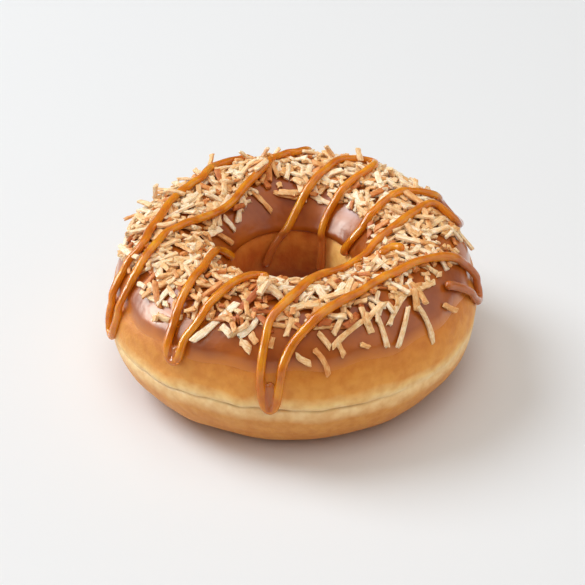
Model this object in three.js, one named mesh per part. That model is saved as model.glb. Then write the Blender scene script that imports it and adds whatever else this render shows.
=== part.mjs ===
// Ring doughnut: fried dough, a caramel glaze over its top, toasted coconut shreds and a caramel drizzle.
// Millimetres, +Z up. The origin is on the plane that the doughnut rests on, under its middle.
//
// A place on the dough is two angles in degrees. The bearing runs round the ring, from +X towards +Y.
// The pitch runs round the section: 0 outermost, 90 on top, 180 in the hole, 270 underneath.
// A lift is a height above the dough's skin, square to it.
import * as THREE from "three";
import { ParametricGeometry } from "three/addons/geometries/ParametricGeometry.js";

const { degToRad, lerp, seededRandom, smoothstep } = THREE.MathUtils;

// Dough
const RING_RADIUS = 46;
const HOLE_RADIUS = 14;
const HOLE_OFFSET = -1.2; // of the hole's centre, along X
const WIDEST_HEIGHT = 17; // above the rest plane
const RISE = 20.6; // from the widest height to the top
const DROP = 17.3; // from the widest height to the underside, before the rest plane flattens it
const ROUNDNESS = { outerTop: 2.15, innerTop: 2.2, bottom: 2 }; // 2 is an ellipse, more is squarer
const SWELLS = [
  { lobes: 2, bearing: 30, height: 1.45 },
  { lobes: 3, bearing: 72, height: 0.55 },
];
const BEARING_STEPS = 56;
const DOUGH_PITCH_STEPS = 36;

// Glaze
const GAP = 0.3; // left between neighbouring pieces
const GLAZE_THICKNESS = 0.8;
const GLAZE_OUTER_PITCH = 30;
const GLAZE_INNER_PITCH = 152;
const GLAZE_WAVES = [
  { lobes: 2, bearing: 335, pitch: 1.8 },
  { lobes: 17, bearing: 206, pitch: 1.4 },
];
const GLAZE_LIP_POWER = 0.35; // 1 gives an oval section, less gives an even coat with round lips
const GLAZE_SECTION_STEPS = 24;
const GLAZE_TOP = GAP + GLAZE_THICKNESS;

// Coconut
const SHRED_THICKNESS = 0.8;
const SHRED_WIDTHS = [1.2, 1.7];
const SHRED_LENGTHS = [5, 10];
const SHRED_PITCHES = [58, 124];
const SHRED_COUNT = 52;
const SHRED_SEGMENTS = 3;
const SHRED_END_WIDTH = 0.7; // share of the middle's width
const SHRED_END_SLANT = 0.5;
const SHRED_SEED = 7;
const SHRED_LIFT = GLAZE_TOP + GAP + SHRED_THICKNESS / 2;
const SHRED_SPACING = 1; // between the footprints of two shreds
const FOOTPRINT_STEP = 1;
const PLACED_WIDTH = 1.6;

// Shreds with places of their own, on the bare slopes and round the hole: bearing, pitch, heading, length.
// A heading of 0 lies round the ring and one of 90 points up the section.
const PLACED_SHREDS = [
  [299, 54, 88, 9.1],
  [307, 59, 29, 7.7],
  [307, 46, 45, 8.8],
  [316, 39, 99, 9.2],
  [288, 54, 24, 9.6],
  [279, 51, 124, 4.4],
  [285, 43, 108, 3.4],
  [278, 36, 113, 5.7],
  [272, 38, 137, 3.1],
  [328, 38, 126, 3.9],
  [242, 58, 58, 11.5],
  [254, 59, 48, 4.7],
  [254, 46, 147, 3.1],
  [247, 54, 147, 2.9],
  [224, 47, 167, 3.1],
  [215, 54, 4, 6.7],
  [256, 52, 130, 2.7],
  [116, 124, 119, 6.4],
  [97, 122, 163, 6.6],
  [70, 124, 166, 6.2],
  [40, 117, 171, 9.7],
  [169, 130, 113, 8],
  [152, 130, 85, 3.4],
  [136, 52, 70, 7.5],
  [163, 38, 34, 8],
  [192, 58, 40, 9],
  [72, 48, 100, 8],
  [44, 50, 40, 7],
  [5, 46, 75, 6.5],
  [120, 44, 160, 5.5],
];

// Drizzle
const STRAND_RADIUS = 1.15;
const STRAND_SIDES = 6;
const STRAND_STEP = 2.7;
const LIFT_ON_DOUGH = GAP + STRAND_RADIUS;
const LIFT_ON_GLAZE = GLAZE_TOP + LIFT_ON_DOUGH;
const LIFT_ON_COCONUT = LIFT_ON_GLAZE + SHRED_THICKNESS + GAP;
const ONTO_GLAZE = [14, 26]; // pitches between which a strand climbs from the dough to the glaze
const ONTO_COCONUT = [42, 60];
const OFF_COCONUT = [124, 140];
const OFF_GLAZE = [154, 164];

// Each strand's route, as bearing and pitch. Bearings above 360 carry on past +X.
const STRANDS = {
  drizzle_left: [
    [103, 26], [105, 42], [109, 57], [116, 64], [124, 66], [131, 74], [140, 82.5], [151.5, 83],
    [164.5, 83.5], [177.5, 82], [186, 76], [191.5, 72.5], [194.5, 66], [196, 57], [196.5, 47],
    [197.5, 37.5], [198, 28], [197.5, 18], [197.5, 9], [198.5, 3], [201, 2.5], [203, 9.5],
    [204.5, 20], [205, 33], [204.5, 43.5], [204, 53.5], [203, 63], [196.5, 78.5], [187, 91],
    [177, 104.5], [160.5, 116], [141, 117], [123.5, 108], [109, 96.5], [98.5, 82], [93.5, 76.5],
    [89.5, 75], [86, 67], [84.5, 56], [84, 44], [84, 30], [86, 18], [90, 13], [94, 18], [95, 30],
  ],
  drizzle_front_left: [
    [178.5, 148], [184, 139.5], [190, 131], [200, 122], [208.5, 115], [215, 106], [221.5, 95],
    [225, 82], [227, 71], [228.5, 57.5], [229, 43], [229.5, 29.5], [230.5, 23], [232.5, 22.5],
    [234, 29], [234.5, 41.5], [237, 56], [238, 68], [239.5, 79], [241, 92], [243, 102],
    [245.5, 108.5], [249, 110], [254, 109],
  ],
  drizzle_hole_back: [
    [126, 176], [119, 167.5], [112, 160.5], [104, 154], [96, 146], [89, 134.5], [83.5, 123.5],
    [78.5, 113.5], [74, 102], [71, 91.5], [67, 82], [61.5, 73.5], [57.5, 70], [54.5, 75],
    [52.5, 86.5], [53.5, 98], [55.5, 110], [58, 123], [61, 135], [62, 147], [60, 158.5], [58.5, 169],
    [58.5, 178],
  ],
  drizzle_front_right: [
    [383.5, 155], [380.5, 143], [379, 130], [379.5, 118.5], [383, 107], [386, 95], [386.5, 85.5],
    [385, 77], [384.5, 69], [386, 58], [389, 47], [390, 37], [387, 31], [382, 34], [376, 42],
    [371.5, 50], [370, 57], [372, 64], [375, 71], [374, 79], [369.5, 87.5], [362.5, 96.5], [353, 106],
    [346, 113.5], [338, 117], [327, 119], [316, 119], [305, 118], [296, 117.5], [288, 114],
    [279, 104], [270.5, 90], [264.5, 77], [261, 66], [260, 52], [259.5, 35.5], [259.5, 20],
    [260.5, 7], [262.3, 2.5], [264, 7], [265, 20], [266, 35], [269, 50], [275, 63], [282, 72.5],
    [288.5, 77], [298, 81], [308, 84.5], [319, 83.5], [328, 80], [336.5, 72.5], [343.5, 61],
    [348, 48], [350.5, 34], [352, 20.5], [350.5, 14.5], [347.5, 16], [344, 25], [340, 36], [335, 47],
    [331, 53],
  ],
  drizzle_short: [[325, 102.5], [331, 102], [334.5, 98], [334.5, 91]],
};

const DOUGH = new THREE.MeshStandardMaterial({ color: 0xcd9141, roughness: 0.6, metalness: 0 });
const GLAZE = new THREE.MeshStandardMaterial({ color: 0xa5643c, roughness: 0.2, metalness: 0 });
const CARAMEL = new THREE.MeshStandardMaterial({ color: 0xc3701f, roughness: 0.12, metalness: 0 });
const COCONUT = new THREE.MeshStandardMaterial({ color: 0xebd7af, roughness: 0.75, metalness: 0 });

const signedPower = (value, exponent) => Math.sign(value) * Math.abs(value) ** exponent;

const wave = ({ lobes, bearing }, at) => Math.cos(lobes * degToRad(at - bearing));

// The dough's skin. Its section is a superellipse that the rest plane cuts flat underneath.
function skinPoint(bearing, pitch) {
  const across = Math.cos(degToRad(pitch));
  const up = Math.sin(degToRad(pitch));
  const top = across < 0 ? ROUNDNESS.innerTop : ROUNDNESS.outerTop;
  const roundness = up < 0 ? ROUNDNESS.bottom : top;
  const angle = degToRad(bearing);
  const addLobe = (sum, lobe) => sum + lobe.height * wave(lobe, bearing);
  const outer = SWELLS.reduce(addLobe, RING_RADIUS);
  const inner = HOLE_RADIUS + HOLE_OFFSET * Math.cos(angle);
  const radius = (outer + inner) / 2 + ((outer - inner) / 2) * signedPower(across, 2 / roundness);
  const height = WIDEST_HEIGHT + (up < 0 ? DROP : RISE) * signedPower(up, 2 / roundness);
  return new THREE.Vector3(radius * Math.cos(angle), radius * Math.sin(angle), Math.max(height, 0));
}

// How the skin runs at a place, for one degree of bearing and one of pitch.
function skinSteps(bearing, pitch) {
  const round = skinPoint(bearing + 0.5, pitch).sub(skinPoint(bearing - 0.5, pitch));
  const over = skinPoint(bearing, pitch + 0.5).sub(skinPoint(bearing, pitch - 0.5));
  return { round, over };
}

function liftedPoint(bearing, pitch, lift) {
  const { round, over } = skinSteps(bearing, pitch);
  return skinPoint(bearing, pitch).addScaledVector(round.cross(over).normalize(), lift);
}

function doughRing() {
  const onSkin = (u, v, target) => target.copy(skinPoint(360 * u, 360 * v));
  return new ParametricGeometry(onSkin, BEARING_STEPS, DOUGH_PITCH_STEPS);
}

// A coat whose closed section runs out over its top and back along its underside.
function caramelGlaze() {
  const onCoat = (u, v, target) => {
    const bearing = 360 * u;
    const addLobe = (sum, lobe) => sum + lobe.pitch * wave(lobe, bearing);
    const edge = GLAZE_WAVES.reduce(addLobe, GLAZE_OUTER_PITCH);
    const pitch = lerp(edge, GLAZE_INNER_PITCH, (1 - Math.cos(2 * Math.PI * v)) / 2);
    const side = signedPower(Math.sin(2 * Math.PI * v), GLAZE_LIP_POWER);
    target.copy(liftedPoint(bearing, pitch, GAP + (GLAZE_THICKNESS * (1 + side)) / 2));
  };
  return new ParametricGeometry(onCoat, BEARING_STEPS, GLAZE_SECTION_STEPS);
}

// A strand's centre line, draped over whatever lies under it.
class DrapedCurve extends THREE.Curve {
  constructor(route) {
    super();
    const stops = route.map(([bearing, pitch]) => new THREE.Vector3(bearing, pitch, 0));
    this.route = new THREE.CatmullRomCurve3(stops);
  }

  getPoint(t, target = new THREE.Vector3()) {
    const { x: bearing, y: pitch } = this.route.getPoint(t);
    const onGlaze = smoothstep(pitch, ...ONTO_GLAZE) * (1 - smoothstep(pitch, ...OFF_GLAZE));
    const onCoconut = smoothstep(pitch, ...ONTO_COCONUT) * (1 - smoothstep(pitch, ...OFF_COCONUT));
    const lift =
      LIFT_ON_DOUGH +
      (LIFT_ON_GLAZE - LIFT_ON_DOUGH) * onGlaze +
      (LIFT_ON_COCONUT - LIFT_ON_GLAZE) * onCoconut;
    return target.copy(liftedPoint(bearing, pitch, lift));
  }
}

function drizzleStrand(curve) {
  const section = new THREE.Shape().absarc(0, 0, STRAND_RADIUS, 0, 2 * Math.PI);
  return new THREE.ExtrudeGeometry(section, {
    steps: Math.ceil(curve.getLength() / STRAND_STEP),
    curveSegments: STRAND_SIDES / 2,
    bevelEnabled: false,
    extrudePath: curve,
  });
}

// Bends a shred's own point onto the glaze: its X and Y follow the skin, and its Z adds to the lift.
function bentPoint({ bearing, pitch, heading, length }, x, y, z) {
  const { round, over } = skinSteps(bearing, pitch);
  const narrowed = y * lerp(1, SHRED_END_WIDTH, Math.abs(x) / (length / 2));
  const slanted = x + SHRED_END_SLANT * narrowed;
  const turn = degToRad(heading);
  const roundwards = slanted * Math.cos(turn) - narrowed * Math.sin(turn);
  const upwards = slanted * Math.sin(turn) + narrowed * Math.cos(turn);
  return liftedPoint(
    bearing + roundwards / round.length(),
    pitch + upwards / over.length(),
    SHRED_LIFT + z,
  );
}

function coconutShred(shred) {
  const strip = new THREE.BoxGeometry(shred.length, shred.width, SHRED_THICKNESS, SHRED_SEGMENTS);
  const places = strip.getAttribute("position");
  for (let i = 0; i < places.count; i++) {
    const { x, y, z } = bentPoint(shred, places.getX(i), places.getY(i), places.getZ(i));
    places.setXYZ(i, x, y, z);
  }
  strip.computeVertexNormals();
  return strip;
}

// Points on a shred's two long edges and middle line, which stand for it when room is looked for.
function footprint(shred) {
  const steps = Math.ceil(shred.length / FOOTPRINT_STEP);
  const points = [];
  for (let i = 0; i <= steps; i++) {
    const x = lerp(-shred.length / 2, shred.length / 2, i / steps);
    for (const y of [-shred.width / 2, 0, shred.width / 2]) points.push(bentPoint(shred, x, y, 0));
  }
  return points;
}

const hasRoom = (points, taken) =>
  points.every((point) => taken.every((other) => other.point.distanceTo(point) > other.reach));

const placedShred = ([bearing, pitch, heading, length]) => ({
  bearing,
  pitch,
  heading,
  length,
  width: PLACED_WIDTH,
});

const scatteredShred = () => ({
  bearing: 360 * seededRandom(),
  pitch: lerp(...SHRED_PITCHES, seededRandom()),
  heading: 180 * seededRandom(),
  length: lerp(...SHRED_LENGTHS, seededRandom()),
  width: lerp(...SHRED_WIDTHS, seededRandom()),
});

function addMesh(name, geometry, material) {
  const mesh = new THREE.Mesh(geometry, material);
  mesh.name = name;
  group.add(mesh);
}

const group = new THREE.Group();
addMesh("dough_ring", doughRing(), DOUGH);
addMesh("caramel_glaze", caramelGlaze(), GLAZE);

const taken = [];
for (const [name, route] of Object.entries(STRANDS)) {
  const curve = new DrapedCurve(route);
  addMesh(name, drizzleStrand(curve), CARAMEL);
  for (const point of curve.getSpacedPoints(Math.ceil(curve.getLength()))) {
    taken.push({ point, reach: STRAND_RADIUS + SHRED_THICKNESS / 2 + GAP / 2 });
  }
}

seededRandom(SHRED_SEED);
const waiting = PLACED_SHREDS.map(placedShred);
for (let made = 0; made < SHRED_COUNT; ) {
  const shred = waiting.shift() ?? scatteredShred();
  const points = footprint(shred);
  if (!hasRoom(points, taken)) continue;
  made += 1;
  addMesh(`coconut_shred_${String(made).padStart(2, "0")}`, coconutShred(shred), COCONUT);
  taken.push(...points.map((point) => ({ point, reach: SHRED_SPACING })));
}

export default group;
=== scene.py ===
"""The looks of a caramel and coconut ring doughnut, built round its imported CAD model.

Shapes are worked out in millimetres and turned into metres when a mesh is made.
A place on the dough is two angles in degrees. The bearing runs round the ring, from +X towards +Y.
The pitch runs round the section: 0 outermost, 90 on top, 180 in the hole, 270 underneath.
A lift is a height above the dough's skin, square to it.
"""

import math

import bpy
import numpy as np
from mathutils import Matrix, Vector, noise
from mathutils.kdtree import KDTree


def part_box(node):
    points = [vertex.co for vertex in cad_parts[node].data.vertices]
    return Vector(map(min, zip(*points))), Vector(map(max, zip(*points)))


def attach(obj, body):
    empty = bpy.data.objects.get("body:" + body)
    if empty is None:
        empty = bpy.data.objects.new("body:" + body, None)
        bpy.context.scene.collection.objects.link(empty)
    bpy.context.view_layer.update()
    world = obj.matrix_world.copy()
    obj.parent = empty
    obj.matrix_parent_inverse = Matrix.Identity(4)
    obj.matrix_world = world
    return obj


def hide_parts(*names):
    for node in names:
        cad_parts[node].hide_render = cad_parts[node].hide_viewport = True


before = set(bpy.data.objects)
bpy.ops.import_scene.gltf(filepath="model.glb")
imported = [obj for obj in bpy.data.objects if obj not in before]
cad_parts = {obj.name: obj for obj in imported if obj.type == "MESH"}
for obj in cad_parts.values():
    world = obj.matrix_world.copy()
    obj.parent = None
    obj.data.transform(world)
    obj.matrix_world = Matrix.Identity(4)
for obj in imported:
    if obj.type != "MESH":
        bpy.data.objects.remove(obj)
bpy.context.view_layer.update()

MM = 0.001
dough_low, dough_high = (np.array(corner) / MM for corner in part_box("dough_ring"))

# Dough, as in the CAD model
RING_RADIUS = (dough_high - dough_low)[:2].mean() / 2
HOLE_RADIUS = 14.0
HOLE_OFFSET = -1.2
WIDEST_HEIGHT = 17.0
RISE = 20.6
DROP = 17.3
ROUNDNESS_OUTER, ROUNDNESS_INNER, ROUNDNESS_BOTTOM = 2.15, 2.2, 2.0
SWELLS = ((2, 30, 1.45), (3, 72, 0.55))  # lobes, bearing of the first one, height

# Dough skin
DOUGH_BEARINGS = 400
FINE_PITCHES = (-9.0, 9.0)  # the stretch with the crease, which has closer rows
FINE_STEP, COARSE_STEP = 0.3, 2.0
LUMP_HEIGHTS = ((15.0, 0.55), (6.0, 0.16))  # size, height
CREASE_PITCH = -0.6  # then its waves: lobes, bearing of the first one, pitch
CREASE_WAVES = ((3, 20, 0.9), (7, 250, 0.7), (16, 240, 0.45), (29, 10, 0.3), (47, 5, 0.2))
CREASE_OPEN = (236, 0.25, 0.8)  # where it is open: bearing, then the cosines from there of none and all
CREASE_DEPTH, CREASE_WIDTH = 0.5, 0.34
CREASE_FAINTEST = 0.05  # share of its depth that is left at the back
WAIST_DEPTH, WAIST_WIDTH = 0.3, 1.6  # the shallow dip that the crease lies in
LIP_HEIGHT, LIP_MIDDLE, LIP_END = 0.34, 1.2, 5.0  # the swelling above the crease
SMOOTH_PITCHES = (22, 30, 150, 158)  # the smooth skin under the glaze: none, all, all, none
FLAT_HEIGHT = 1.5  # the lumps die out below this
HOLE_PITCHES = (80, 110)  # the hole's darker, redder tone, which is painted shade and painted bounce light: none, all
LIT_HOLE_SIDE = (30, 0.82, 1.0)  # the side of the hole that painted light makes palest, as a bearing and two cosines
HOLE_SHADE_HEIGHTS = (8, 26)  # painted shade: the hole is dark below the first and no darker above the second

# Glaze
GLAZE_THICKNESS = 0.85
GLAZE_SUNK = 0.4  # how deep its underside lies in the dough
GLAZE_OUTER_PITCH, GLAZE_INNER_PITCH = 30.0, 152.0
GLAZE_WAVES = ((2, 335, 1.8), (17, 206, 1.4))  # lobes, bearing of the first one, pitch
GLAZE_BEARINGS, GLAZE_ROWS = 480, 150
GLAZE_LIP_POWER = 0.35  # 1 gives an oval section, less gives an even coat with round lips
GLAZE_LIP_SHARE = 0.2  # share of the full thickness at the outer lip
GLAZE_THINNING = 11  # pitch from the outer lip to the full thickness
RIM_SHARE, RIM_INSET, RIM_WIDTH = 0.35, 3, 4  # the rim in the hole: extra thickness, then two pitches
PITCH_LENGTH = 0.36  # millimetres of skin to a degree of pitch, about the lip
SEE_THROUGH_LIP = 3.4  # width of the lip that the dough shows through

# Coconut
SCATTERED_SHREDS = 620
CRUMBS = 420
SHRED_LENGTHS = (5.6, 1.6, 2.6, 9.5)  # mean, spread, shortest, longest
SHRED_WIDTHS, SHRED_THICKNESSES = (1.1, 1.85), (0.6, 1.0)
CRUMB_SIZES = ((1.3, 3.0), (0.8, 1.4), (0.5, 0.9))  # lengths, widths, thicknesses
COCONUT_PITCHES = (54.0, 64.0, 114.0, 127.0)  # none, all, all, none
BACK_LEFT, BACK_SPREAD = (120, -0.2, 0.7), 9.0  # where the coconut reaches further down, and by what pitch
SLOPE_SHARE = 0.6  # density of the coconut at a pitch of 0 or 180, against 1 on top
TOASTS, TOAST_SHARES = (0.1, 0.36, 0.55, 0.85), (0.3, 0.38, 0.2, 0.12)  # from 0, white, to 1, brown
TOAST_SPREAD = 0.07
TOASTED_PATCHES = ((245, 20, 90), (287, 11, 66))  # bearing of the middle, half width, highest pitch
BROWNING, PATCH_FADE = 0.3, 6  # how much more toasted those patches are, and over what pitch it fades
BARE_PATCH = (103, 12, 112, 10)  # bearing of the middle, half width, pitch of the middle, half height
BARE_HEIGHT = 5.0  # how high the bare patch counts when a low place is looked for
PILE_TOPS = (1.9, 3.3)  # lowest and highest that a shred's top stands above the dough
NESTING = 0.7  # share of a shred's underside that lies above what is under it
SLOPES = np.linspace(-0.55, 0.55, 45)  # slopes that are tried to nest a shred
STICK_ALONG, STICK_ACROSS = np.linspace(-0.5, 0.5, 19), np.linspace(-0.5, 0.5, 3)
RESTING_WIDTH = 0.8  # share of a shred's width that rests on the pile
PILED_LENGTH, PILED_WIDTH = 0.96, 0.9  # shares of a shred that raise the pile
PILE_STEP = 0.16  # between the points of a shred that raise the pile
COCONUT_SECTORS = ("right", "back", "left", "front")

# A shred
SHRED_STATIONS = np.array([-1.0, -0.95, -0.6, -0.2, 0.2, 0.6, 0.95, 1.0])
SHRED_END_SIZE, SHRED_TORN_FROM = 0.82, 0.9  # share of the width, and the station
SHRED_SIDES = 8
SHRED_CORNER_POWER = 0.42  # 1 gives an oval section, less gives a squarer one
SHRED_UNEVENNESS, SHRED_TAPER, SHRED_TEAR = 0.09, 0.22, 0.14
SHRED_SLANTS = (0.6, 0.3)  # most that an end slants across the width and the thickness
SHRED_TWIST, SHRED_LEAN = 0.18, 0.22
SHRED_SIDE_BEND, SHRED_RISE, SHRED_RISE_SPREAD = 0.04, -0.01, 0.02  # shares of its length
BEND_MIDDLE = 0.33  # keeps a bent shred's middle about where a straight one's is
SHARP_ANGLE = math.radians(55)
CAD_SHRED_LIFT, CAD_SHRED_PITCHES = 1.8, np.arange(20, 160, 0.5)  # where a CAD shred is looked for
CAD_SHRED_WIDTH = 0.85  # share of the width that a CAD shred spans, since it follows the dough's curve
CAD_SHRED_THICKNESS, CAD_SHRED_TOAST = 0.75, 0.7
CAD_BROWNING = 1.4  # times the browning of the scattered shreds

# Drizzle
STRAND_RADIUS = 1.05
STRAND_STEP = 0.45
LIFT_ON_DOUGH, GLAZE_CLIMB, COCONUT_CLIMB = 0.9, 0.7, 1.3
CLIMB_PITCHES = ((22, 32, 150, 156), (46, 62, 116, 132))  # glaze, coconut: none, all, all, none
STRAND_SAG = 0.4  # most that the pile's ups and downs move a strand
STRAND_GIVE = 0.5  # share of the pile's ups and downs that a strand follows
DRAPED_LIFT = 0.6  # of a draped strand's middle above the pile, in radii
UNDERSIDE = np.linspace(-0.8, 0.8, 5)  # in radii
HOLDS_UP = -8  # which of the heights under a strand holds it up, counted from the highest
STRAND_UNEVENNESS = 0.2
STRAND_WIDTH, STRAND_HEIGHT = 1.04, 0.94  # in radii
STRAND_SIDES = 14
BLUNT_END = 0.02  # keeps a width at the very end of a strand
COATED_HOLE_PITCHES = (144, 156)  # none, all
COATED_SIDE, COATED_SIDE_PITCHES = (4, 0.74, 0.84), (50, 66)  # all, none
CURVE_STEPS = 60  # points to a stretch of a smooth route
ROUTE_LIFT = 2.0  # where a route's length is measured
FOOTPRINT = np.linspace(-0.9, 0.9, 9)  # in radii
REMESH_SIZE = 0.2
SMOOTHING, SMOOTHING_ROUNDS = 0.5, 6

# Shreds and bits that the CAD model leaves out: bearing, pitch, heading, length, width, thickness, toast.
LOOSE_SHREDS = (
    (279, 51, 124, 4.4, 1.4, 0.8, 0.45),
    (284, 43, 108, 3.4, 1.3, 0.8, 0.5),
    (254, 46, 147, 3.1, 1.9, 0.8, 0.3),
    (247, 54, 147, 2.9, 1.8, 0.9, 0.1),
    (256, 52, 130, 2.7, 1.7, 0.8, 0.5),
    (222, 44, 20, 1.9, 1.6, 0.9, 0.35),
    (229, 52, 30, 2.4, 1.3, 0.8, 0.4),
    (262, 50, 80, 2.6, 1.3, 0.7, 0.6),
    (292, 42, 150, 2.2, 1.2, 0.7, 0.55),
)

# Shreds that lie over the drizzle, or alone on the bare glaze by the hole, with the same seven values.
TOP_SHREDS = (
    (193.5, 60, 25, 8.0, 1.5, 0.8, 0.1),
    (257, 90, 20, 4.6, 2.4, 1.1, 0.25),
    (254, 93, 100, 4.2, 2.2, 1.1, 0.3),
    (261, 88, 150, 4.4, 2.2, 1.0, 0.2),
    (258, 95, 70, 3.6, 1.9, 1.0, 0.45),
    (256, 86, 60, 3.4, 2.0, 1.0, 0.2),
    (371, 91, 110, 5.0, 1.6, 0.9, 0.15),
    (364, 84, 60, 5.4, 1.5, 0.8, 0.3),
    (158, 84, 100, 4.4, 1.5, 0.8, 0.3),
    (110, 97, 30, 5.0, 1.5, 0.8, 0.2),
    (95, 121, 176, 5.6, 1.7, 0.8, 0.5),
    (89, 112, 140, 2.8, 1.1, 0.7, 0.4),
    (101, 112, 100, 1.5, 1.4, 0.8, 0.5),
)

# Shreds that stand off the outline: the same seven values, then the slope up to the end they head for.
STANDING_SHREDS = (
    (167, 51, 300, 4.0, 1.6, 0.8, 0.75, 0.5),
    (161, 58, 250, 4.2, 1.6, 0.8, 0.25, 0.6),
    (156, 62, 90, 5.2, 1.8, 0.8, 0.15, 1.2),
    (149, 58, 290, 4.2, 1.4, 0.8, 0.3, 0.6),
    (144, 61, 240, 4.4, 1.6, 0.8, 0.15, 0.6),
    (139, 60, 300, 3.8, 1.4, 0.8, 0.3, 0.6),
    (133, 62, 250, 4.2, 1.6, 0.8, 0.35, 0.6),
    (126, 64, 200, 4.2, 1.3, 0.7, 0.5, 0.7),
    (112, 71, 20, 4.2, 1.5, 0.8, 0.1, 0.6),
    (104, 77, 130, 4.0, 1.6, 0.8, 0.15, 0.8),
    (99, 75, 200, 4.0, 1.5, 0.8, 0.2, 0.6),
    (75, 77, 60, 5.2, 1.7, 0.8, 0.3, 1.3),
    (62, 76, 320, 3.8, 1.5, 0.8, 0.25, 0.6),
    (44, 78, 100, 4.2, 1.7, 0.8, 0.3, 0.8),
    (31, 74, 330, 4.0, 1.4, 0.7, 0.3, 0.6),
)
STANDING_LIFT = 0.5  # share of a standing shred's own rise by which its middle is lifted

STRANDS = {
    "drizzle_left": [
        (103, 26), (105, 42), (109, 57), (116, 64), (124, 66), (131, 74), (140, 82.5), (151.5, 83),
        (164.5, 83.5), (177.5, 82), (186, 76), (191.5, 72.5), (194.5, 66), (196, 57), (196.5, 47),
        (197.5, 37.5), (198, 28), (197.5, 18), (197.5, 9), (198.5, 3), (201, 2.5), (203, 9.5),
        (204.5, 20), (205, 33), (204.5, 43.5), (204, 53.5), (203, 63), (196.5, 78.5), (187, 91),
        (177, 104.5), (160.5, 116), (141, 117), (123.5, 108), (109, 96.5), (98.5, 82), (93.5, 76.5),
        (89.5, 75), (86, 67), (84.5, 56), (84, 44), (84, 30), (86, 18), (90, 13), (94, 18), (95, 30),
    ],
    "drizzle_front_left": [
        (178.5, 148), (184, 139.5), (190, 131), (200, 122), (208.5, 115), (215, 106), (221.5, 95),
        (225, 82), (227, 71), (228.5, 57.5), (229, 43), (229.5, 29.5), (230.5, 23), (232.5, 22.5),
        (234, 29), (234.5, 41.5), (237, 56), (238, 68), (239.5, 79), (241, 92), (243, 102),
        (245.5, 108.5), (249, 110), (254, 109),
    ],
    "drizzle_hole_back": [
        (126, 176), (119, 167.5), (112, 160.5), (104, 154), (96, 146), (89, 134.5), (83.5, 123.5),
        (78.5, 113.5), (74, 102), (71, 91.5), (67, 82), (61.5, 73.5), (57.5, 70), (54.5, 75),
        (52.5, 86.5), (53.5, 98), (55.5, 110), (58, 123), (61, 135), (62, 147), (60, 158.5),
        (58.5, 169), (58.5, 178),
    ],
    "drizzle_front_right": [
        (383.5, 155), (380.5, 143), (379, 130), (379.5, 118.5), (383, 107), (386, 95), (386.5, 85.5),
        (385, 77), (384.5, 69), (386, 58), (389, 47), (390, 37), (387, 31), (382, 34), (376, 42),
        (371.5, 50), (370, 57), (372, 64), (375, 71), (374, 79), (369.5, 87.5), (362.5, 96.5),
        (353, 106), (346, 113.5), (338, 117), (327, 119), (316, 119), (305, 118), (296, 117.5),
        (288, 114), (279, 104), (270.5, 90), (264.5, 77), (261, 66), (260, 52), (259.5, 35.5),
        (259.5, 20), (260.5, 7), (262.3, 2.5), (264, 7), (265, 20), (266, 35), (269, 50), (275, 63),
        (282, 72.5), (288.5, 77), (298, 81), (308, 84.5), (319, 83.5), (328, 80), (336.5, 72.5),
        (343.5, 61), (348, 48), (350.5, 34), (352, 20.5), (350.5, 14.5), (347.5, 16), (344, 25),
        (340, 36), (335, 47), (331, 53),
    ],
    "drizzle_short": [(325, 102.5), (331, 102), (334.5, 98), (334.5, 91)],
}

# Caramel that fills the foot of a loop: a line of places up its middle.
POOLS = {
    "drizzle_front_left": [(231.5, 24), (231.7, 29), (232, 34)],
    "drizzle_front_right": [(262.2, 5), (262.2, 13), (262.3, 22)],
}
POOL_LIFT = 0.3  # share of a strand's lift
POOL_SHADE = 0.9  # how dark, from clear caramel to glaze-coated

random = np.random.default_rng(20)


# ---- the dough's skin


def signed_power(value, exponent):
    return np.sign(value) * np.abs(value) ** exponent


def smoothstep(low, high, value):
    share = np.clip((np.asarray(value, float) - low) / (high - low), 0, 1)
    return share * share * (3 - 2 * share)


def band(pitch, start, full, fade, end):
    """0 before start, 1 from full to fade, and 0 after end."""
    return smoothstep(start, full, pitch) * (1 - smoothstep(fade, end, pitch))


def facing(bearing, middle, none, full):
    """1 about a bearing and 0 far from it, by the cosine of the angle between."""
    return smoothstep(none, full, np.cos(np.radians(bearing - middle)))


def waves(lobes, bearing):
    """The sum of the lobes' heights at a bearing."""
    return sum(height * np.cos(count * np.radians(bearing - first)) for count, first, height in lobes)


def skin(bearing, pitch):
    """Points on the skin, of shape (..., 3)."""
    bearing, pitch = np.broadcast_arrays(np.asarray(bearing, float), np.asarray(pitch, float))
    across, up = np.cos(np.radians(pitch)), np.sin(np.radians(pitch))
    top = np.where(across < 0, ROUNDNESS_INNER, ROUNDNESS_OUTER)
    roundness = np.where(up < 0, ROUNDNESS_BOTTOM, top)
    outer = RING_RADIUS + waves(SWELLS, bearing)
    inner = HOLE_RADIUS + HOLE_OFFSET * np.cos(np.radians(bearing))
    radius = (outer + inner) / 2 + (outer - inner) / 2 * signed_power(across, 2 / roundness)
    height = WIDEST_HEIGHT + np.where(up < 0, DROP, RISE) * signed_power(up, 2 / roundness)
    turn = np.radians(bearing)
    return np.stack([radius * np.cos(turn), radius * np.sin(turn), np.maximum(height, 0)], -1)


def skin_steps(bearing, pitch):
    """How the skin runs for one degree of bearing and for one of pitch."""
    bearing, pitch = np.asarray(bearing, float), np.asarray(pitch, float)
    around = skin(bearing + 0.5, pitch) - skin(bearing - 0.5, pitch)
    over = skin(bearing, pitch + 0.5) - skin(bearing, pitch - 0.5)
    return around, over


def unit(vectors):
    return vectors / np.linalg.norm(vectors, axis=-1, keepdims=True)


def skin_normal(bearing, pitch):
    return unit(np.cross(*skin_steps(bearing, pitch)))


def lifted(bearing, pitch, lift):
    return skin(bearing, pitch) + skin_normal(bearing, pitch) * np.asarray(lift, float)[..., None]


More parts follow.
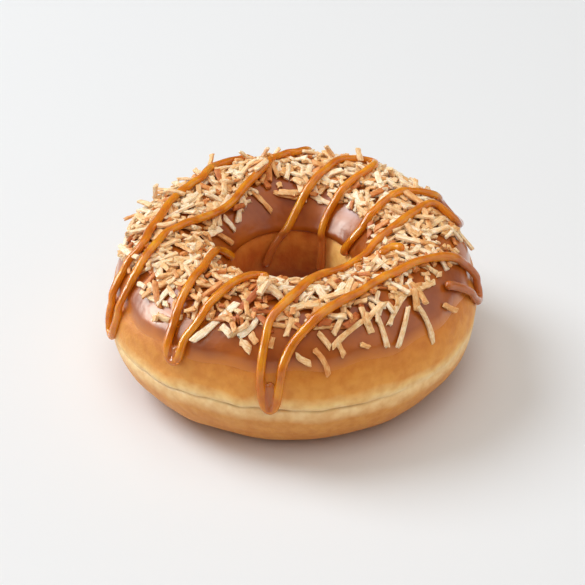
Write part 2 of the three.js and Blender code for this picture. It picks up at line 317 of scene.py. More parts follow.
def noise_at(points, size, seed=0):
    """Smooth noise between about -1 and 1 at points, with features of about the given size."""
    offset = Vector((seed * 17.3, seed * 5.1, seed * 9.7))
    flat = np.asarray(points, float).reshape(-1, 3) / size
    values = [noise.noise(Vector(point) + offset) for point in flat]
    return np.array(values).reshape(np.shape(points)[:-1])


# ---- meshes


def ring_faces(rings, sides, closed):
    """Quads between rings of the same number of points; a closed strip joins its last ring to its first."""
    ring = np.arange(rings if closed else rings - 1)[:, None]
    side = np.arange(sides)[None, :]
    here, there = ring * sides, (ring + 1) % rings * sides
    beside = (side + 1) % sides
    return np.stack([here + side, there + side, there + beside, here + beside], -1).reshape(-1, 4)


def make_piece(name, points, faces, material, attributes=None):
    """A mesh object from points in millimetres, with named values at its points."""
    mesh = bpy.data.meshes.new(name)
    mesh.from_pydata((np.asarray(points).reshape(-1, 3) * MM).tolist(), [], [list(face) for face in faces])
    for label, values in (attributes or {}).items():
        values = np.asarray(values, np.float32).reshape(len(mesh.vertices), -1)
        if values.shape[1] == 1:
            mesh.attributes.new(label, "FLOAT", "POINT").data.foreach_set("value", values.ravel())
        else:
            mesh.attributes.new(label, "FLOAT_VECTOR", "POINT").data.foreach_set("vector", values.ravel())
    mesh.shade_smooth()
    mesh.materials.append(material)
    piece = bpy.data.objects.new(name, mesh)
    bpy.context.scene.collection.objects.link(piece)
    return piece


def finish_piece(piece, nodes):
    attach(piece, "root")
    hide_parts(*nodes)


# ---- materials


def srgb(red, green, blue):
    """A linear colour from 8-bit display values."""
    values = np.array([red, green, blue]) / 255
    linear = np.where(values <= 0.04045, values / 12.92, ((values + 0.055) / 1.055) ** 2.4)
    return (*linear.tolist(), 1.0)


class Shader:
    """A new material and short ways to add nodes to it."""

    def __init__(self, name, **surface):
        self.material = bpy.data.materials.new(name)
        self.material.use_nodes = True
        self.tree = self.material.node_tree
        self.surface = self.tree.nodes["Principled BSDF"]
        self.set(self.surface, surface)

    def scatter(self, weight, scale, radius):
        """Light that goes in and comes out again: how much, how far in millimetres, and by colour."""
        inputs = {"Subsurface_Weight": weight, "Subsurface_Scale": scale * MM, "Subsurface_Radius": radius}
        self.set(self.surface, inputs)

    def set(self, node, inputs):
        """Sets or links a node's inputs, which are named by their label, or by _ and their number."""
        for label, value in inputs.items():
            socket = node.inputs[int(label[1:]) if label[0] == "_" else label.replace("_", " ")]
            if isinstance(value, bpy.types.NodeSocket):
                self.tree.links.new(value, socket)
            else:
                socket.default_value = value

    def add(self, kind, settings=None, **inputs):
        node = self.tree.nodes.new("ShaderNode" + kind)
        for label, value in (settings or {}).items():
            setattr(node, label, value)
        self.set(node, inputs)
        return node

    def place(self):
        """The position on the object, in millimetres."""
        position = self.add("TexCoord").outputs["Object"]
        return self.add("VectorMath", {"operation": "SCALE"}, _0=position, Scale=1 / MM).outputs[0]

    def value(self, label):
        return self.add("Attribute", {"attribute_name": label}).outputs["Fac"]

    def vector(self, label):
        return self.add("Attribute", {"attribute_name": label}).outputs["Vector"]

    def noise(self, vector, size, detail=2.0):
        """Noise from 0 to 1, with features of the given size in millimetres."""
        texture = self.add("TexNoise", Vector=vector, Scale=1 / size, Detail=detail)
        return texture.outputs["Fac"]

    def math(self, operation, *values):
        inputs = {f"_{i}": value for i, value in enumerate(values)}
        return self.add("Math", {"operation": operation}, **inputs).outputs[0]

    def range(self, value, low, high, to_low=0.0, to_high=1.0):
        node = self.add("MapRange", Value=value, From_Min=low, From_Max=high, To_Min=to_low, To_Max=to_high)
        return node.outputs[0]

    def ramp(self, value, stops):
        node = self.add("ValToRGB", Fac=value)
        elements = node.color_ramp.elements
        while len(elements) < len(stops):
            elements.new(0.5)
        for element, (position, colour) in zip(elements, stops):
            element.position, element.color = position, colour
        return node.outputs["Color"]

    def mix(self, share, first, second, blend="MIX"):
        node = self.add("Mix", {"data_type": "RGBA", "blend_type": blend})
        self.set(node, {"_0": share, "_6": first, "_7": second})
        return node.outputs[2]

    def bump(self, height, strength, distance, normal=None):
        inputs = {"Height": height, "Strength": strength, "Distance": distance * MM}
        if normal is not None:
            inputs["Normal"] = normal
        return self.add("Bump", **inputs).outputs[0]


def dough_material():
    """Fried dough: golden brown, cream on both sides of the crease, and mottled; painted shade darkens the
    crease and the hole, most low down, painted bounce light reddens the hole, and painted light makes one
    side of it paler.
    """
    shader = Shader("dough", Roughness=0.48, Specular_IOR_Level=0.3)
    shader.scatter(weight=0.15, scale=1.2, radius=(1.0, 0.6, 0.25))
    place = shader.place()
    blotches, mottle = shader.noise(place, 9, detail=3), shader.noise(place, 2.4, detail=4)
    wander = shader.range(blotches, 0, 1, -1.8, 1.8)
    height = shader.math("ADD", shader.value("above_crease"), wander)
    side = shader.ramp(
        shader.range(height, -12, 12),
        (
            (0.0, srgb(212, 140, 62)),
            (0.33, srgb(220, 154, 78)),
            (0.42, srgb(238, 196, 136)),
            (0.51, srgb(248, 216, 160)),
            (0.59, srgb(242, 200, 130)),
            (0.68, srgb(226, 156, 70)),
            (0.82, srgb(216, 142, 56)),
            (1.0, srgb(204, 124, 44)),
        ),
    )
    # Painted shade and painted bounce light: the hole's wall is darker and redder than the outside.
    inside = shader.ramp(blotches, ((0.35, srgb(196, 104, 40)), (0.65, srgb(222, 140, 60))))
    # Painted shade, darkest low in the hole.
    inside = shader.mix(shader.value("hole_shade"), inside, srgb(150, 62, 18))
    # Painted light: the hole's wall is paler on the side that the light falls on.
    inside = shader.mix(shader.value("hole_light"), inside, srgb(255, 206, 120))
    body = shader.mix(shader.value("inside"), side, inside)
    tint = shader.ramp(mottle, ((0.32, srgb(236, 214, 190)), (0.62, srgb(255, 255, 255))))
    skin_colour = shader.mix(0.75, body, tint, "MULTIPLY")
    # Painted shade in the crease: a darker line along it.
    crease = shader.mix(shader.value("crease"), skin_colour, srgb(186, 144, 88))
    grain = shader.bump(shader.noise(place, 0.55, detail=3), strength=0.4, distance=0.18)
    normal = shader.bump(mottle, strength=0.5, distance=0.5, normal=grain)
    shader.set(shader.surface, {"Base_Color": crease, "Normal": normal})
    return shader.material


def glaze_material():
    """A milky caramel glaze under a wet gloss, so thin at its lip that the dough shows through."""
    shader = Shader("glaze", Roughness=0.3, IOR=1.45, Specular_IOR_Level=0.15)
    shader.scatter(weight=0.1, scale=1.0, radius=(1.0, 0.45, 0.2))
    shader.set(shader.surface, {"Coat_Weight": 1.0, "Coat_Roughness": 0.28, "Coat_IOR": 1.45})
    place = shader.place()
    cloud = shader.noise(place, 9, detail=3)
    body = shader.ramp(cloud, ((0.32, srgb(134, 58, 6)), (0.68, srgb(176, 92, 20))))
    thin = shader.range(shader.value("from_lip"), 0.0, SEE_THROUGH_LIP, 0.95, 0.0)
    colour = shader.mix(thin, body, srgb(206, 122, 36))
    ripples = shader.bump(shader.noise(place, 4.5), strength=0.5, distance=0.5)
    normal = shader.bump(shader.noise(place, 1.3), strength=0.12, distance=0.12, normal=ripples)
    shader.set(shader.surface, {"Base_Color": colour, "Normal": normal, "Coat_Normal": normal})
    return shader.material


def caramel_material():
    """Clear orange caramel, wet and glossy and a little cloudy, and glaze-brown where glaze coats it."""
    shader = Shader("caramel", Roughness=0.08, IOR=1.48, Specular_IOR_Level=0.6, Transmission_Weight=0.3)
    shader.scatter(weight=0.45, scale=1.6, radius=(1.0, 0.5, 0.15))
    place = shader.place()
    stops = ((0.3, srgb(206, 112, 6)), (0.5, srgb(230, 140, 14)), (0.7, srgb(246, 170, 36)))
    clear = shader.ramp(shader.noise(place, 5), stops)
    colour = shader.mix(shader.value("coated"), clear, srgb(202, 116, 54))
    normal = shader.bump(shader.noise(place, 1.8), strength=0.3, distance=0.2)
    shader.set(shader.surface, {"Base_Color": colour, "Normal": normal})
    return shader.material


def coconut_material():
    """Dry coconut: each shred its own shade from cream to toasted, with fibres along it."""
    shader = Shader("coconut", Roughness=0.6)
    shader.scatter(weight=0.25, scale=0.8, radius=(1.0, 0.6, 0.35))
    place, stretch = shader.vector("fibre"), (0.3, 1.0, 1.0)
    along = shader.add("VectorMath", {"operation": "MULTIPLY"}, _0=place, _1=stretch)
    fibres = shader.noise(along.outputs[0], 0.3, detail=4)
    patches = shader.noise(place, 1.4, detail=3)
    shade = shader.math("ADD", shader.value("toast"), shader.range(patches, 0.25, 0.75, -0.2, 0.2))
    body = shader.ramp(
        shade,
        (
            (0.0, srgb(250, 234, 206)),
            (0.3, srgb(242, 208, 158)),
            (0.55, srgb(232, 180, 116)),
            (0.78, srgb(218, 144, 72)),
            (1.0, srgb(186, 100, 38)),
        ),
    )
    streaks = shader.ramp(fibres, ((0.32, srgb(224, 184, 140)), (0.6, srgb(255, 255, 255))))
    colour = shader.mix(0.7, body, streaks, "MULTIPLY")
    normal = shader.bump(fibres, strength=0.8, distance=0.2)
    shader.set(shader.surface, {"Base_Color": colour, "Normal": normal})
    return shader.material


# ---- dough


def crease_pitch(bearing):
    """Where the proof crease runs: near the widest height, wandering a little."""
    return CREASE_PITCH + waves(CREASE_WAVES, bearing)


def crease_strength(bearing, pitch):
    """How open the crease is, from 0 to 1: unevenly, widest at the front left and faint at the back."""
    strength = CREASE_FAINTEST + (1 - CREASE_FAINTEST) * facing(bearing, *CREASE_OPEN)
    uneven = smoothstep(-0.4, 0.4, noise_at(skin(bearing, pitch), size=5, seed=3))
    return strength * (0.5 + 0.5 * uneven)


def dough_pitches():
    fine = np.arange(FINE_PITCHES[0], FINE_PITCHES[1], FINE_STEP)
    count = int((360 - FINE_PITCHES[1] + FINE_PITCHES[0]) / COARSE_STEP)
    coarse = np.linspace(FINE_PITCHES[1], 360 + FINE_PITCHES[0], count, endpoint=False)
    return np.concatenate([fine, coarse])


def make_dough():
    bearing = np.linspace(0, 360, DOUGH_BEARINGS, endpoint=False)[:, None]
    pitch = dough_pitches()[None, :]
    points, normal = skin(bearing, pitch), skin_normal(bearing, pitch)
    signed = (pitch + 180) % 360 - 180
    crease = crease_pitch(bearing)
    from_crease = np.linalg.norm(skin(bearing, signed) - skin(bearing, crease), axis=-1)
    above = np.sign(signed - crease) * from_crease
    strength = crease_strength(bearing, crease)
    # The groove shapes the crease and also masks its painted shade.
    groove = strength * np.exp(-((above / CREASE_WIDTH) ** 2))
    waist = WAIST_DEPTH * np.exp(-((above / WAIST_WIDTH) ** 2))
    swelling = smoothstep(0, LIP_MIDDLE, above) - smoothstep(LIP_MIDDLE, LIP_END, above)
    lip = LIP_HEIGHT * strength * swelling
    bare = 1 - band(signed, *SMOOTH_PITCHES)
    standing = smoothstep(0.0, FLAT_HEIGHT, points[..., 2])
    lumps = sum(height * noise_at(points, size, seed) for seed, (size, height) in enumerate(LUMP_HEIGHTS))
    relief = lumps * bare * standing - CREASE_DEPTH * groove - waist + lip
    points = points + normal * relief[..., None]
    points[..., 2] = np.maximum(points[..., 2], 0)
    # Masks for the painted shade and painted light in the hole.
    inside = smoothstep(*HOLE_PITCHES, np.abs(signed)) * np.ones_like(bearing)
    # Painted light on one side of the hole.
    hole_light = facing(bearing, *LIT_HOLE_SIDE) * inside
    # Painted shade deep in the hole.
    hole_shade = (1 - smoothstep(*HOLE_SHADE_HEIGHTS, points[..., 2])) * inside
    attributes = {"above_crease": above, "crease": groove, "inside": inside, "hole_shade": hole_shade, "hole_light": hole_light}
    faces = ring_faces(*points.shape[:2], closed=True)
    dough = make_piece("dough", points, faces, dough_material(), attributes)
    finish_piece(dough, ["dough_ring"])


# ---- glaze


def glaze_edge(bearing):
    return GLAZE_OUTER_PITCH + waves(GLAZE_WAVES, bearing)


def glaze_lift(bearing, pitch):
    """How thick the coat is: it thins out down the side, and ends in a full rim in the hole."""
    inwards = smoothstep(0, GLAZE_THINNING, pitch - glaze_edge(bearing))
    outer = GLAZE_LIP_SHARE + (1 - GLAZE_LIP_SHARE) * inwards
    rim = RIM_SHARE * np.exp(-(((GLAZE_INNER_PITCH - RIM_INSET - pitch) / RIM_WIDTH) ** 2))
    return GLAZE_THICKNESS * (outer + rim)


def make_glaze():
    """A coat whose closed section runs over the top and back inside the dough, with round lips."""
    bearing = np.linspace(0, 360, GLAZE_BEARINGS, endpoint=False)[:, None]
    turn = np.linspace(0, 2 * np.pi, GLAZE_ROWS, endpoint=False)[None, :]
    edge = glaze_edge(bearing)
    pitch = edge + (GLAZE_INNER_PITCH - edge) * (1 - np.cos(turn)) / 2
    side = signed_power(np.sin(turn), GLAZE_LIP_POWER)
    lift = np.where(side > 0, side * glaze_lift(bearing, pitch), side * GLAZE_SUNK)
    from_lip = (pitch - edge) * PITCH_LENGTH
    points = lifted(bearing, pitch, lift)
    faces = ring_faces(*points.shape[:2], closed=True)
    glaze = make_piece("glaze", points, faces, glaze_material(), {"from_lip": from_lip})
    finish_piece(glaze, ["caramel_glaze"])


# ---- what is piled on the glaze


class Pile:
    """The height of everything that lies on the skin, on a grid of bearings and pitches."""

    bearing_step, pitch_step = 0.4, 0.6
    first_pitch, last_pitch = 2.0, 172.0

    def __init__(self):
        self.bearings = np.arange(0, 360, self.bearing_step)[:, None]
        self.pitches = np.arange(self.first_pitch, self.last_pitch, self.pitch_step)[None, :]
        self.skin = skin(self.bearings, self.pitches)
        self.normal = skin_normal(self.bearings, self.pitches)
        on_glaze = (self.pitches > glaze_edge(self.bearings)) & (self.pitches < GLAZE_INNER_PITCH)
        self.height = np.where(on_glaze, GLAZE_THICKNESS, 0.0)

    def cells(self, bearing, pitch):
        row = np.rint(bearing / self.bearing_step).astype(int) % self.height.shape[0]
        column = np.rint((pitch - self.first_pitch) / self.pitch_step).astype(int)
        return row, np.clip(column, 0, self.height.shape[1] - 1)

    def tops(self, cells):
        """Points on top of the pile."""
        return self.skin[cells] + self.normal[cells] * self.height[cells][..., None]


class Spot:
    """A flat patch that touches the skin at a place: X along a heading, Z square to the skin."""

    def __init__(self, bearing, pitch, heading):
        self.bearing, self.pitch = bearing, pitch
        around, over = skin_steps(bearing, pitch)
        self.around_step, self.over_step = np.linalg.norm(around), np.linalg.norm(over)
        self.turn = math.radians(heading)
        self.z = unit(np.cross(around, over))
        self.x = unit(math.cos(self.turn) * unit(around) + math.sin(self.turn) * unit(over))
        self.y = np.cross(self.z, self.x)
        self.origin = skin(bearing, pitch)

    def angles(self, x, y):
        """The bearing and pitch under a point of the patch."""
        along = x * math.cos(self.turn) - y * math.sin(self.turn)
        across = x * math.sin(self.turn) + y * math.cos(self.turn)
        return self.bearing + along / self.around_step, self.pitch + across / self.over_step


def settle(pile, spot, length, width):
    """How a straight stick nests lowest in the pile: its height at the middle, and its slope."""
    x, y = np.meshgrid(STICK_ALONG * length, STICK_ACROSS * width)
    tops = pile.tops(pile.cells(*spot.angles(x, y))) - spot.origin
    reach, height = tops @ spot.x, tops @ spot.z
    heights = np.quantile(height[None] - SLOPES[:, None, None] * reach[None], NESTING, axis=(1, 2))
    best = heights.argmin()
    return heights[best], SLOPES[best]


def heap(pile, spot, length, width, top, slope):
    """Raises the pile to a stick that now lies on it."""
    along = np.arange(-length / 2, length / 2, PILE_STEP)
    across = np.arange(-width / 2, width / 2, PILE_STEP)
    cells = pile.cells(*spot.angles(*np.meshgrid(along, across)))
    under = (pile.skin[cells] - spot.origin) @ spot.z
    reach = (pile.skin[cells] - spot.origin) @ spot.x
    raised = (top + slope * reach - under) / (pile.normal[cells] @ spot.z)
    np.maximum.at(pile.height, cells, raised)


def straight_shred(length, width, thickness):
    """A shred in its own frame, ring by ring: a flat stick with blunt, slanted, torn ends."""
    station = SHRED_STATIONS[:, None]
    corner = np.radians((np.arange(SHRED_SIDES) + 0.5) * 360 / SHRED_SIDES)[None, :]
    uneven = 1 + SHRED_UNEVENNESS * random.standard_normal((2, len(SHRED_STATIONS), 1))
    taper = 1 - random.uniform(0.0, SHRED_TAPER) * (1 + station * random.choice([-1, 1])) / 2
    end = np.where(np.abs(station) == 1, SHRED_END_SIZE, 1.0)
    y = width / 2 * signed_power(np.cos(corner), SHRED_CORNER_POWER) * uneven[0] * taper * end
    z = thickness / 2 * signed_power(np.sin(corner), SHRED_CORNER_POWER) * uneven[1] * end
    slant_y, slant_z = (random.uniform(-most, most) for most in SHRED_SLANTS)
    x = length / 2 * station + slant_y * y + slant_z * z
    torn = np.abs(station) > SHRED_TORN_FROM
    x = x + torn * random.normal(0, SHRED_TEAR, (1, SHRED_SIDES))
    return np.stack([x, y, z], -1)


def bent_shred(straight, length):
    """The same shred, hardly twisted and bent."""
    x, y, z = np.moveaxis(straight, -1, 0)
    station = SHRED_STATIONS[:, None]
    twist = random.normal(0, SHRED_TWIST) * station
    y, z = y * np.cos(twist) - z * np.sin(twist), y * np.sin(twist) + z * np.cos(twist)
    sideways = random.normal(0, SHRED_SIDE_BEND) * length
    upwards = random.normal(SHRED_RISE, SHRED_RISE_SPREAD) * length
    bow = station**2 - BEND_MIDDLE
    return x, y + sideways * bow, z + upwards * bow


def shred_points(spot, length, width, thickness, height, slope):
    """A shred's points at a spot, and the same points before it was bent, which its fibres follow."""
    straight = straight_shred(length, width, thickness)
    x, y, z = bent_shred(straight, length)
    along = unit(spot.x + slope * spot.z)
    up = np.cross(along, spot.y)
    up = up if up @ spot.z > 0 else -up
    lean = random.normal(0, SHRED_LEAN)
    side = spot.y * math.cos(lean) + up * math.sin(lean)
    up = up * math.cos(lean) - spot.y * math.sin(lean)
    middle = spot.origin + spot.z * (height + thickness / 2)
    points = middle + x[..., None] * along + y[..., None] * side + z[..., None] * up
    return points, straight


def shred_faces():
    rings = len(SHRED_STATIONS)
    sides = ring_faces(rings, SHRED_SIDES, closed=False)[:, ::-1].tolist()
    first = list(range(SHRED_SIDES))
    last = [(rings - 1) * SHRED_SIDES + side for side in reversed(range(SHRED_SIDES))]
    return sides + [first, last]


class Coconut:
    """The shreds laid so far, kept by the quarter of the ring that they lie in."""

    def __init__(self, pile):
        self.pile = pile
        self.sectors = {name: [] for name in COCONUT_SECTORS}
        self.nodes = {name: [] for name in COCONUT_SECTORS}

    def sector(self, bearing):
        return COCONUT_SECTORS[int((bearing + 45) % 360 // 90)]

    def lay(
        self, bearing, pitch, heading, length, width, thickness, toast, node=None, on_top=False, tilt=0.0
    ):
        """Lays a shred where it nests, for a CAD node if there is one, and raises the pile to it."""
        spot = Spot(bearing, pitch, heading)
        height, slope = settle(self.pile, spot, length, width * RESTING_WIDTH)
        if not on_top:
            height = min(height, random.uniform(*PILE_TOPS) - thickness)
        rise = tilt * length / 2 / math.hypot(1, tilt)
        middle_height = height + STANDING_LIFT * rise
        points, fibre = shred_points(spot, length, width, thickness, middle_height, slope + tilt)
        heap(self.pile, spot, length * PILED_LENGTH, width * PILED_WIDTH, height + thickness, slope)
        name = self.sector(bearing)
        self.sectors[name].append((points, fibre + random.uniform(0, 900, 3), toast))
        if node:
            self.nodes[name].append(node)

    def build(self, material):
        for name, shreds in self.sectors.items():
            points = np.concatenate([shred[0].reshape(-1, 3) for shred in shreds])
            fibres = np.concatenate([shred[1].reshape(-1, 3) for shred in shreds])
            count = len(SHRED_STATIONS) * SHRED_SIDES
            toast = np.repeat([shred[2] for shred in shreds], count)
            all_faces = []
            for index in range(len(shreds)):
                all_faces += [[corner + index * count for corner in face] for face in shred_faces()]
            attributes = {"fibre": fibres, "toast": toast}
            piece = make_piece("coconut_" + name, points, all_faces, material, attributes)
            piece.data.set_sharp_from_angle(angle=SHARP_ANGLE)
            finish_piece(piece, self.nodes[name])


def toast_shade():
    """A shred's shade from 0, white, to 1, toasted brown."""
    kind = random.choice(TOASTS, p=TOAST_SHARES)
    return float(np.clip(kind + random.normal(0, TOAST_SPREAD), 0, 1))


def within(value, middle, half_width, fade):
    """1 inside a stretch, 0 outside it, with soft ends."""
    return 1 - smoothstep(half_width - fade, half_width + fade, abs(value - middle))


def browning(bearing, pitch, patches=TOASTED_PATCHES):
    """How much more toasted the coconut is at a place on the front slope."""
    return BROWNING * max(
        within(bearing, middle, half_width, fade=4)
        * (1 - smoothstep(top - PATCH_FADE, top + PATCH_FADE, pitch))
        for middle, half_width, top in patches
    )


def shred_size():
    mean, spread, shortest, longest = SHRED_LENGTHS
    length = float(np.clip(random.normal(mean, spread), shortest, longest))
    return length, random.uniform(*SHRED_WIDTHS), random.uniform(*SHRED_THICKNESSES)


def crumb_size():
    return [random.uniform(*limits) for limits in CRUMB_SIZES]


def cad_shred_places():
    """Bearing, pitch, heading, length and width of each CAD shred, from its own corners."""
    for node in sorted(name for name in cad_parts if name.startswith("coconut_shred")):
        corners = np.array([vertex.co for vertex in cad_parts[node].data.vertices]) / MM
        middle = corners.mean(0)
        axes = np.linalg.svd(corners - middle)[2]
        span = [np.ptp((corners - middle) @ axis) for axis in axes]
        bearing = math.degrees(math.atan2(middle[1], middle[0])) % 360
        pitches = CAD_SHRED_PITCHES
        over_skin = lifted(bearing, pitches, np.full(len(pitches), CAD_SHRED_LIFT))
        pitch = pitches[np.linalg.norm(over_skin - middle, axis=-1).argmin()]
        around, over = skin_steps(bearing, pitch)
        heading = math.degrees(math.atan2(axes[0] @ unit(over), axes[0] @ unit(around)))
        yield node, bearing, pitch, heading, span[0], span[1] * CAD_SHRED_WIDTH


def place_weight(bearing, pitch):
    """How much coconut lies at a place, from 0 to 1: most on top of the ring, less on its slopes."""
    start, full, fade, end = COCONUT_PITCHES
    spread = BACK_SPREAD * facing(bearing, *BACK_LEFT)
    in_band = band(pitch, start - spread, full - spread, fade, end)
    return in_band * (SLOPE_SHARE + (1 - SLOPE_SHARE) * math.sin(math.radians(pitch)))


def bareness(bearing, pitch):
    """1 where the glaze above the back of the hole is almost free of coconut."""
    middle_bearing, half_width, middle_pitch, half_height = BARE_PATCH
    in_width = within(bearing, middle_bearing, half_width, fade=2)
    return in_width * within(pitch, middle_pitch, half_height, fade=2)


def free_place(pile, tries=3):
    """The lowest of a few random places in the coconut band, outside the bare patch if it can be."""
    places = []
    while len(places) < tries:
        bearing = random.uniform(0, 360)
        pitch = random.uniform(COCONUT_PITCHES[0] - BACK_SPREAD, COCONUT_PITCHES[3])
        if random.uniform() < place_weight(bearing, pitch):
            height = pile.height[pile.cells(np.array(bearing), np.array(pitch))]
            places.append((height + BARE_HEIGHT * bareness(bearing, pitch), bearing, pitch))
    return min(places)[1:]


def lay_coconut(coconut):
    for node, bearing, pitch, *shape in cad_shred_places():
        toast = CAD_SHRED_TOAST * toast_shade() + CAD_BROWNING * browning(bearing, pitch, TOASTED_PATCHES[1:])
        coconut.lay(bearing, pitch, *shape, CAD_SHRED_THICKNESS, toast, node)
    for shred in LOOSE_SHREDS:
        coconut.lay(*shred)
    for _ in range(SCATTERED_SHREDS):
        bearing, pitch = free_place(coconut.pile)
        heading, size = random.uniform(0, 180), shred_size()
        coconut.lay(bearing, pitch, heading, *size, toast_shade() + browning(bearing, pitch))
    for _ in range(CRUMBS):
        bearing, pitch = free_place(coconut.pile)
        size, heading = crumb_size(), random.uniform(0, 180)
        coconut.lay(bearing, pitch, heading, *size, toast_shade() + browning(bearing, pitch))


# ---- drizzle


def smooth_route(stops, step):
    """Evenly spaced places on a Catmull-Rom curve through the stops, which are bearings and pitches."""
    stops = np.array(stops, float)
    ends = np.vstack([2 * stops[0] - stops[1], stops, 2 * stops[-1] - stops[-2]])
    share = np.linspace(0, 1, CURVE_STEPS, endpoint=False)[:, None]
    pieces = []
    for a, b, c, d in zip(ends, ends[1:], ends[2:], ends[3:]):
        straight = 2 * b + (c - a) * share
        bend = (2 * a - 5 * b + 4 * c - d) * share**2 + (3 * b - a - 3 * c + d) * share**3
        pieces.append((straight + bend) / 2)
    route = np.vstack([*pieces, stops[-1:]])
    line = lifted(route[:, 0], route[:, 1], np.full(len(route), ROUTE_LIFT))
    distance = np.concatenate([[0], np.cumsum(np.linalg.norm(np.diff(line, axis=0), axis=1))])
    even = np.linspace(0, distance[-1], int(distance[-1] / step))
    return np.stack([np.interp(even, distance, route[:, axis]) for axis in (0, 1)], -1)


def blurred(values, reach):
    """Values smoothed over about the given number of neighbours each way."""
    offsets = np.arange(-3 * reach, 3 * reach + 1)
    weights = np.exp(-((offsets / reach) ** 2))
    padded = np.pad(values, 3 * reach, mode="edge")
    return np.convolve(padded, weights / weights.sum(), "valid")


def strand_lift(pile, route):
    """How high a strand's middle rides: by what it lies on, and a little by the pile's own height."""
    bearing, pitch = route[:, :1], route[:, 1:]
    on_glaze, on_coconut = (band(route[:, 1], *pitches) for pitches in CLIMB_PITCHES)
    even = LIFT_ON_DOUGH + GLAZE_CLIMB * on_glaze + COCONUT_CLIMB * on_coconut
    offsets = UNDERSIDE * STRAND_RADIUS
    reach = np.stack(np.meshgrid(offsets, offsets), -1).reshape(-1, 2)
    around, over = (np.linalg.norm(step, axis=-1)[:, None] for step in skin_steps(*route.T))
    under = pile.height[pile.cells(bearing + reach[:, 0] / around, pitch + reach[:, 1] / over)]
    draped = blurred(np.sort(under, axis=1)[:, HOLDS_UP], reach=4) + DRAPED_LIFT * STRAND_RADIUS
    return even + np.clip(STRAND_GIVE * (draped - even), -STRAND_SAG, STRAND_SAG) * on_coconut


def strand_radius(count, seed):
    wander = blurred(np.random.default_rng(seed).standard_normal(count), reach=9)
    return STRAND_RADIUS * (1 + STRAND_UNEVENNESS * wander / np.abs(wander).max())


def sweep(route, lift, radius):
    """A tube along a route: rings of points, rounded off at both ends."""
    middle = lifted(route[:, 0], route[:, 1], lift)
    cap = np.minimum(np.arange(len(route)), np.arange(len(route))[::-1]) * STRAND_STEP / STRAND_RADIUS
    radius = radius * np.sqrt(1 - (1 - np.clip(cap, BLUNT_END, 1)) ** 2)
    along = unit(np.gradient(middle, axis=0))
    up = skin_normal(route[:, 0], route[:, 1])
    side = unit(np.cross(along, up))
    up = np.cross(side, along)
    angle = np.linspace(0, 2 * np.pi, STRAND_SIDES, endpoint=False)[None, :, None]
    across = np.cos(angle) * side[:, None] * STRAND_WIDTH
    ring = across + np.sin(angle) * up[:, None] * STRAND_HEIGHT
    return middle[:, None] + ring * radius[:, None, None]


def tube(route, lift, radius):
    """The points and faces of a closed tube along a route."""
    rings = sweep(route, lift, radius)
    first = list(range(STRAND_SIDES))
    last = [(len(route) - 1) * STRAND_SIDES + side for side in first]
    faces = ring_faces(len(route), STRAND_SIDES, closed=False).tolist() + [first[::-1], last]
    return rings.reshape(-1, 3), faces


def coated(route):
    """Where glaze has run over a strand: inside the hole, and over the right-hand edge."""
    bearing, pitch = route.T
    in_hole = smoothstep(*COATED_HOLE_PITCHES, pitch)
    on_right = facing(bearing, *COATED_SIDE) * (1 - smoothstep(*COATED_SIDE_PITCHES, pitch))
    return np.maximum(in_hole, on_right)


def add_nearest(mesh, label, middle, values):
    """Gives every point of a mesh the value that belongs to the nearest point of a line."""
    tree = KDTree(len(middle))
    for index, point in enumerate(middle):
        tree.insert(point, index)
    tree.balance()
    nearest = values[[tree.find(vertex.co / MM)[1] for vertex in mesh.vertices]]
    attribute = mesh.attributes.new(label, "FLOAT", "POINT")
    attribute.data.foreach_set("value", nearest.astype(np.float32))


def remeshed(piece):
    """Joins a piece's touching stretches into one even skin and smooths it."""
    joined = piece.modifiers.new("joined", "REMESH")
    joined.mode = "VOXEL"
    joined.voxel_size = REMESH_SIZE * MM
    smoothed = piece.modifiers.new("smoothed", "SMOOTH")
    smoothed.factor, smoothed.iterations = SMOOTHING, SMOOTHING_ROUNDS
    bpy.context.view_layer.update()
    shape = piece.evaluated_get(bpy.context.evaluated_depsgraph_get())
    mesh = bpy.data.meshes.new_from_object(shape)
    mesh.shade_smooth()
    piece.modifiers.clear()
    piece.data = mesh


def heap_strand(pile, route, lift, radius):
    """Raises the pile to a strand that now lies on it."""
    around, over = (np.linalg.norm(step, axis=-1) for step in skin_steps(*route.T))
    for aside in FOOTPRINT:
        for ahead in FOOTPRINT:
            rise = 1 - aside**2 - ahead**2
            if rise <= 0:
                continue
            bearing = route[:, 0] + aside * radius / around
            pitch = route[:, 1] + ahead * radius / over
            np.maximum.at(pile.height, pile.cells(bearing, pitch), lift + radius * math.sqrt(rise))


def lay_strand(pile, name, stops, material, seed):
    route = smooth_route(stops, STRAND_STEP)
    lift = strand_lift(pile, route)
    radius = strand_radius(len(route), seed)
    points, faces = tube(route, lift, radius)
    line, shade = lifted(*route.T, lift), coated(route)
    if name in POOLS:
        pool = smooth_route(POOLS[name], STRAND_STEP)
        pool_lift = POOL_LIFT * strand_lift(pile, pool)
        pool_points, pool_faces = tube(pool, pool_lift, np.full(len(pool), STRAND_RADIUS))
        line = np.vstack([line, lifted(*pool.T, pool_lift + STRAND_RADIUS)])
        shade = np.append(shade, np.full(len(pool), POOL_SHADE))
        faces += [[corner + len(points) for corner in face] for face in pool_faces]
        points = np.vstack([points, pool_points])
    piece = make_piece(name + "_strand", points, faces, material)
    remeshed(piece)
    add_nearest(piece.data, "coated", line, shade)
    finish_piece(piece, [name])
    heap_strand(pile, route, lift, radius)


# ---- studio


CAMERA_TARGET = Vector((-0.9, 0, 18.7)) * MM
CAMERA_DISTANCE = 355 * MM
CAMERA_ELEVATION = math.radians(35.8)
FLOOR_REACH = 4.0
WORLD_COLOUR, WORLD_STRENGTH = (1.0, 0.94, 0.87, 1.0), 0.24
WARM, CARD_COLOUR = (1.0, 0.97, 0.92), (0.88, 1.0, 0.95)


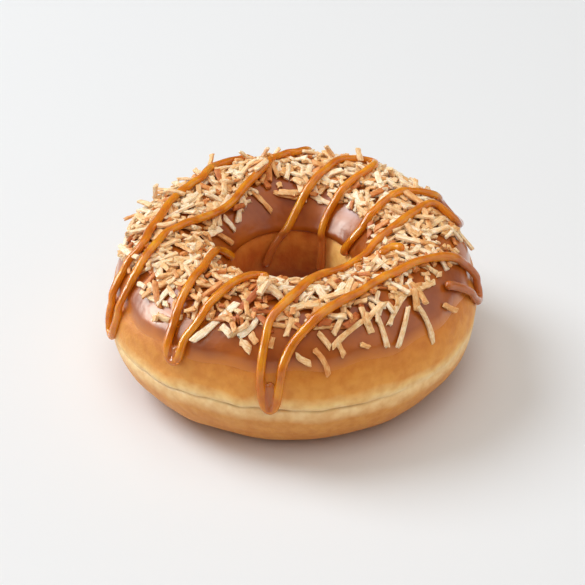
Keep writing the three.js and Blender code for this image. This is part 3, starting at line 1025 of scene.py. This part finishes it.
def make_camera():
    data = bpy.data.cameras.new("camera")
    data.lens, data.sensor_width = 85, 36
    data.clip_start = 0.01
    camera = bpy.data.objects.new("camera", data)
    away = Vector((0, -math.cos(CAMERA_ELEVATION), math.sin(CAMERA_ELEVATION)))
    camera.location = CAMERA_TARGET + away * CAMERA_DISTANCE
    camera.rotation_euler = (-away).to_track_quat("-Z", "Y").to_euler()
    bpy.context.scene.collection.objects.link(camera)
    bpy.context.scene.camera = camera


def make_light(name, azimuth, elevation, distance, size, power, colour=(1, 1, 1)):
    """A soft panel that faces the doughnut. An azimuth of 0 is behind the camera, 90 to its left."""
    data = bpy.data.lights.new(name, "AREA")
    data.shape, data.size, data.energy, data.color = "DISK", size, power, colour
    light = bpy.data.objects.new(name, data)
    turn, rise = math.radians(azimuth), math.radians(elevation)
    level = math.cos(rise)
    towards = Vector((-math.sin(turn) * level, -math.cos(turn) * level, math.sin(rise)))
    light.location = CAMERA_TARGET + towards * distance
    light.rotation_euler = (-towards).to_track_quat("-Z", "Y").to_euler()
    bpy.context.scene.collection.objects.link(light)
    return light


def make_floor():
    mesh = bpy.data.meshes.new("floor")
    corners = [(x * FLOOR_REACH, y * FLOOR_REACH, 0) for x, y in ((-1, -1), (1, -1), (1, 1), (-1, 1))]
    mesh.from_pydata(corners, [], [(0, 1, 2, 3)])
    mesh.materials.append(Shader("floor", Roughness=0.9, Base_Color=srgb(238, 239, 240)).material)
    floor = bpy.data.objects.new("floor", mesh)
    bpy.context.scene.collection.objects.link(floor)
    return floor


def make_world():
    world = bpy.data.worlds.new("studio")
    world.use_nodes = True
    background = world.node_tree.nodes["Background"]
    background.inputs["Color"].default_value = WORLD_COLOUR
    background.inputs["Strength"].default_value = WORLD_STRENGTH
    bpy.context.scene.world = world


def all_but(piece):
    """A collection that lets a light reach everything but one piece."""
    collection = bpy.data.collections.new("off_" + piece.name)
    collection.objects.link(piece)
    collection.collection_objects[0].light_linking.link_state = "EXCLUDE"
    return collection


def make_studio():
    """Soft light that leaves one compact shadow.

    The key and top lights throw the shadow and the front light, which gives no gloss, fills it in.
    The side lights and the cards would throw more shadows, so they light everything but the floor.
    The cards are only there to be reflected.
    """
    make_world()
    floor = make_floor()
    make_light("key", 110, 49, distance=1.8, size=1.0, power=20, colour=(0.95, 1.0, 1.06))
    make_light("top", 180, 84, distance=1.6, size=1.2, power=5, colour=WARM)
    front = make_light("front", -5, 60, distance=1.8, size=1.4, power=8.5, colour=WARM)
    front.visible_glossy = False
    sides = (
        make_light("right", -74, 32, distance=1.5, size=2.0, power=9, colour=(1.0, 0.97, 0.93)),
        make_light("left", 87, 22, distance=1.3, size=1.2, power=6.0),
    )
    cards = (
        make_light("card", 87, 19, distance=1.3, size=0.5, power=8, colour=CARD_COLOUR),
        make_light("wide_card", 84, 32, distance=1.3, size=1.3, power=20, colour=CARD_COLOUR),
    )
    off_floor = all_but(floor)
    for light in sides + cards:
        light.light_linking.receiver_collection = off_floor
    for light in cards:
        light.visible_diffuse = False
    bpy.context.scene.view_settings.view_transform = "Standard"


make_camera()
make_studio()
make_dough()
make_glaze()
pile = Pile()
coconut = Coconut(pile)
lay_coconut(coconut)
caramel = caramel_material()
for seed, (name, stops) in enumerate(STRANDS.items()):
    lay_strand(pile, name, stops, caramel, seed)
for shred in TOP_SHREDS:
    coconut.lay(*shred, on_top=True)
for *shred, tilt in STANDING_SHREDS:
    coconut.lay(*shred, on_top=True, tilt=tilt)
coconut.build(coconut_material())
